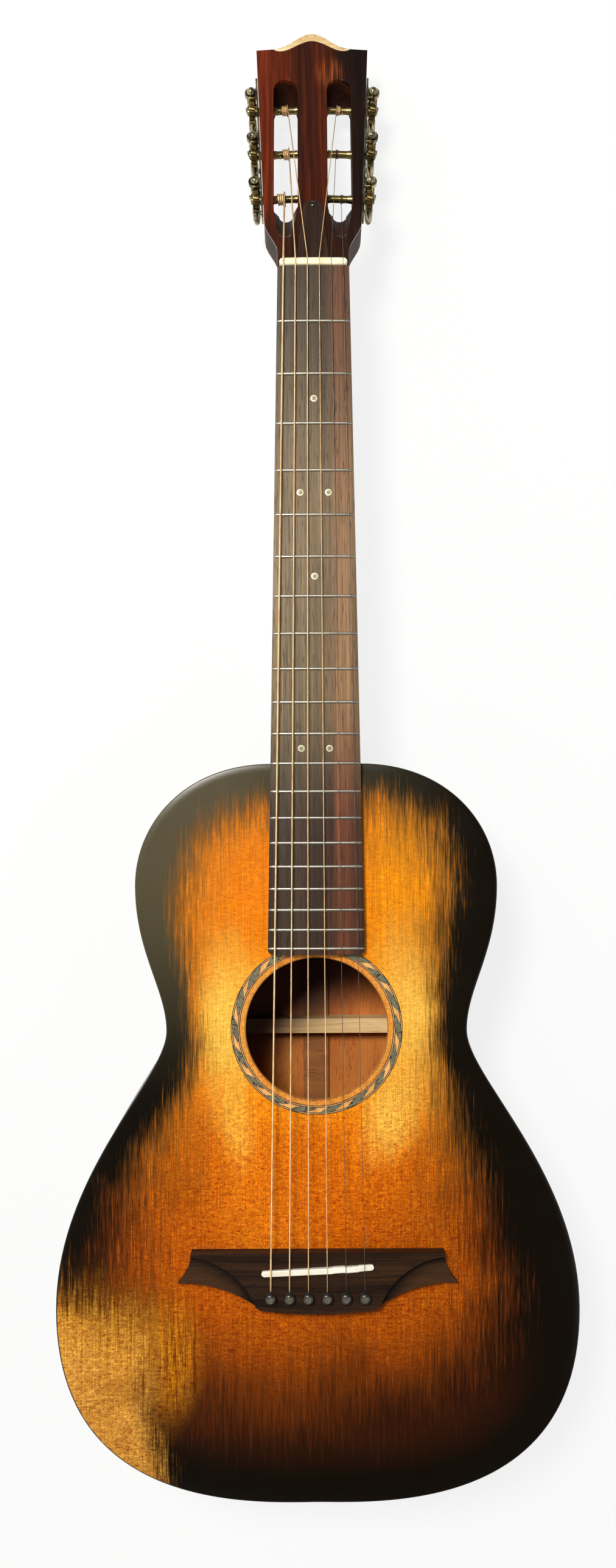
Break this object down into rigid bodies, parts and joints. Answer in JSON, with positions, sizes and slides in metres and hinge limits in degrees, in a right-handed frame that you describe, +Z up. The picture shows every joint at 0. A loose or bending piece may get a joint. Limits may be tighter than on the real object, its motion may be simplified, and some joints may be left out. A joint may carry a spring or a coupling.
{
  "type": "parlor guitar",
  "caption": "Small-bodied steel-string guitar with a slotted headstock, sunburst top, bow-tie bridge and geared tuning machines.",
  "frame": {"origin": "centre of the bounding box at floor level, with the guitar lying on its back", "axes": "+Z up out of the soundboard, +Y along the neck to the head, +X to the treble side"},
  "size_m": [0.3314, 0.9706, 0.1085],
  "materials": {
    "sunburst_top": "satin sunburst lacquer over spruce",
    "dark_mahogany": "dark satin stain",
    "inner_wood": "bare wood",
    "brace_spruce": "bare spruce",
    "fretboard_rosewood": "oiled rosewood with nickel frets",
    "bridge_rosewood": "oiled dark wood",
    "head_veneer": "gloss lacquer",
    "bone": "polished bone",
    "black_pin": "polished black",
    "aged_brass": "aged, worn bright on edges",
    "bronze_string": "wound bronze",
    "steel": "plain steel"
  },
  "bodies": {
    "guitar": {"back_brace_1": "brace_spruce", "back_brace_2": "brace_spruce", "back_brace_3": "brace_spruce", "back_lining_bass": "inner_wood", "back_lining_treble": "inner_wood", "back_plate": "dark_mahogany", "back_strip": "brace_spruce", "bridge": "bridge_rosewood", "bridge_pin_1": "black_pin", "bridge_pin_2": "black_pin", "bridge_pin_3": "black_pin", "bridge_pin_4": "black_pin", "bridge_pin_5": "black_pin", "bridge_pin_6": "black_pin", "bridge_plate": "inner_wood", "end_pin": "black_pin", "fretboard": "fretboard_rosewood", "headplate": "head_veneer", "neck": "dark_mahogany", "neck_block": "inner_wood", "nut": "bone", "saddle": "bone", "side_bass": "dark_mahogany", "side_treble": "dark_mahogany", "soundboard": "sunburst_top", "string_1": "bronze_string", "string_2": "bronze_string", "string_3": "bronze_string", "string_4": "bronze_string", "string_5": "steel", "string_6": "steel", "tail_block": "inner_wood", "tone_bar": "brace_spruce", "top_lining_bass": "inner_wood", "top_lining_treble": "inner_wood", "truss_rod": "steel", "truss_rod_cover": "head_veneer", "tuner_plate_bass": "aged_brass", "tuner_plate_treble": "aged_brass", "upper_transverse_brace": "brace_spruce", "x_brace_bass": "brace_spruce", "x_brace_treble": "brace_spruce"},
    "post_1": {"tuner_post_1": "aged_brass", "string_winding_1": "bronze_string"},
    "key_1": {"tuner_key_1": "aged_brass"},
    "post_2": {"tuner_post_2": "aged_brass", "string_winding_2": "bronze_string"},
    "key_2": {"tuner_key_2": "aged_brass"},
    "post_3": {"tuner_post_3": "aged_brass", "string_winding_3": "bronze_string"},
    "key_3": {"tuner_key_3": "aged_brass"},
    "post_4": {"tuner_post_4": "aged_brass", "string_winding_4": "bronze_string"},
    "key_4": {"tuner_key_4": "aged_brass"},
    "post_5": {"tuner_post_5": "aged_brass", "string_winding_5": "steel"},
    "key_5": {"tuner_key_5": "aged_brass"},
    "post_6": {"tuner_post_6": "aged_brass", "string_winding_6": "steel"},
    "key_6": {"tuner_key_6": "aged_brass"}
  },
  "joints": [
    {"name": "post_1_turn", "type": "hinge", "parent": "guitar", "child": "post_1", "pos_m": [-0.03737, 0.36137, 0.05657], "axis": [0.9991, 0.0415, -0.0121], "continuous": true},
    {"name": "key_1_turn", "type": "hinge", "parent": "guitar", "child": "key_1", "pos_m": [-0.03774, 0.36962, 0.05417], "axis": [0, 0.2795, 0.9602], "continuous": true},
    {"name": "post_2_turn", "type": "hinge", "parent": "guitar", "child": "post_2", "pos_m": [-0.0389, 0.39543, 0.04666], "axis": [0.9991, 0.0415, -0.0121], "continuous": true},
    {"name": "key_2_turn", "type": "hinge", "parent": "guitar", "child": "key_2", "pos_m": [-0.03928, 0.40368, 0.04426], "axis": [0, 0.2795, 0.9602], "continuous": true},
    {"name": "post_3_turn", "type": "hinge", "parent": "guitar", "child": "post_3", "pos_m": [-0.04044, 0.42948, 0.03675], "axis": [0.9991, 0.0415, -0.0121], "continuous": true},
    {"name": "key_3_turn", "type": "hinge", "parent": "guitar", "child": "key_3", "pos_m": [-0.04081, 0.43773, 0.03434], "axis": [0, 0.2795, 0.9602], "continuous": true},
    {"name": "post_4_turn", "type": "hinge", "parent": "guitar", "child": "post_4", "pos_m": [0.04044, 0.42948, 0.03675], "axis": [0.9991, -0.0415, 0.0121], "continuous": true},
    {"name": "key_4_turn", "type": "hinge", "parent": "guitar", "child": "key_4", "pos_m": [0.04081, 0.43773, 0.03434], "axis": [0, 0.2795, 0.9602], "continuous": true},
    {"name": "post_5_turn", "type": "hinge", "parent": "guitar", "child": "post_5", "pos_m": [0.0389, 0.39543, 0.04666], "axis": [0.9991, -0.0415, 0.0121], "continuous": true},
    {"name": "key_5_turn", "type": "hinge", "parent": "guitar", "child": "key_5", "pos_m": [0.03928, 0.40368, 0.04426], "axis": [0, 0.2795, 0.9602], "continuous": true},
    {"name": "post_6_turn", "type": "hinge", "parent": "guitar", "child": "post_6", "pos_m": [0.03737, 0.36137, 0.05657], "axis": [0.9991, -0.0415, 0.0121], "continuous": true},
    {"name": "key_6_turn", "type": "hinge", "parent": "guitar", "child": "key_6", "pos_m": [0.03774, 0.36962, 0.05417], "axis": [0, 0.2795, 0.9602], "continuous": true}
  ],
  "couplings": [
    {"joint": "key_1_turn", "follows": "post_1_turn", "ratio": -14},
    {"joint": "key_2_turn", "follows": "post_2_turn", "ratio": -14},
    {"joint": "key_3_turn", "follows": "post_3_turn", "ratio": -14},
    {"joint": "key_4_turn", "follows": "post_4_turn", "ratio": -14},
    {"joint": "key_5_turn", "follows": "post_5_turn", "ratio": -14},
    {"joint": "key_6_turn", "follows": "post_6_turn", "ratio": -14}
  ]
}
